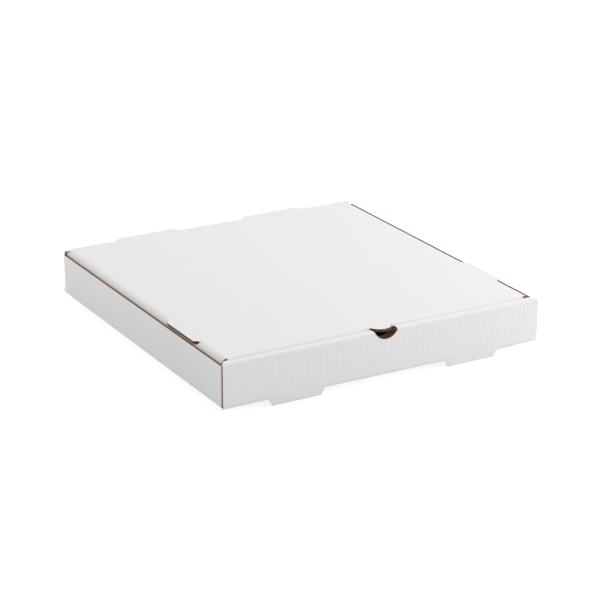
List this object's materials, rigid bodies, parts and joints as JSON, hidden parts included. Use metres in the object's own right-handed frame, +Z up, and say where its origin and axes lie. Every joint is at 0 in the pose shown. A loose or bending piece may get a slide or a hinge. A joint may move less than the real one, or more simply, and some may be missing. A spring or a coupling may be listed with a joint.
{
  "type": "corrugated pizza box",
  "caption": "Shallow square pizza box folded from one sheet of white corrugated board: tray with double front wall and thumb notch, hinged tuck-in lid.",
  "frame": {"origin": "middle of the whole object's underside, level with the lower edges of the two foot tabs under the front wall; the bottom panel lies 7.5 mm above it", "axes": "+Z up, -Y towards the front wall with the thumb notch, +X to the right seen from the front"},
  "size_m": [0.4124, 0.429, 0.0615],
  "materials": {
    "board": "matte white liner, brown cut edges"
  },
  "bodies": {
    "tray": {"tray": "board"},
    "lid": {"lid": "board"}
  },
  "joints": [
    {"name": "lid_hinge", "type": "hinge", "parent": "tray", "child": "lid", "pos_m": [0, 0.2065, 0.0585], "axis": [-1, 0, 0], "range_deg": [0, 180]}
  ]
}
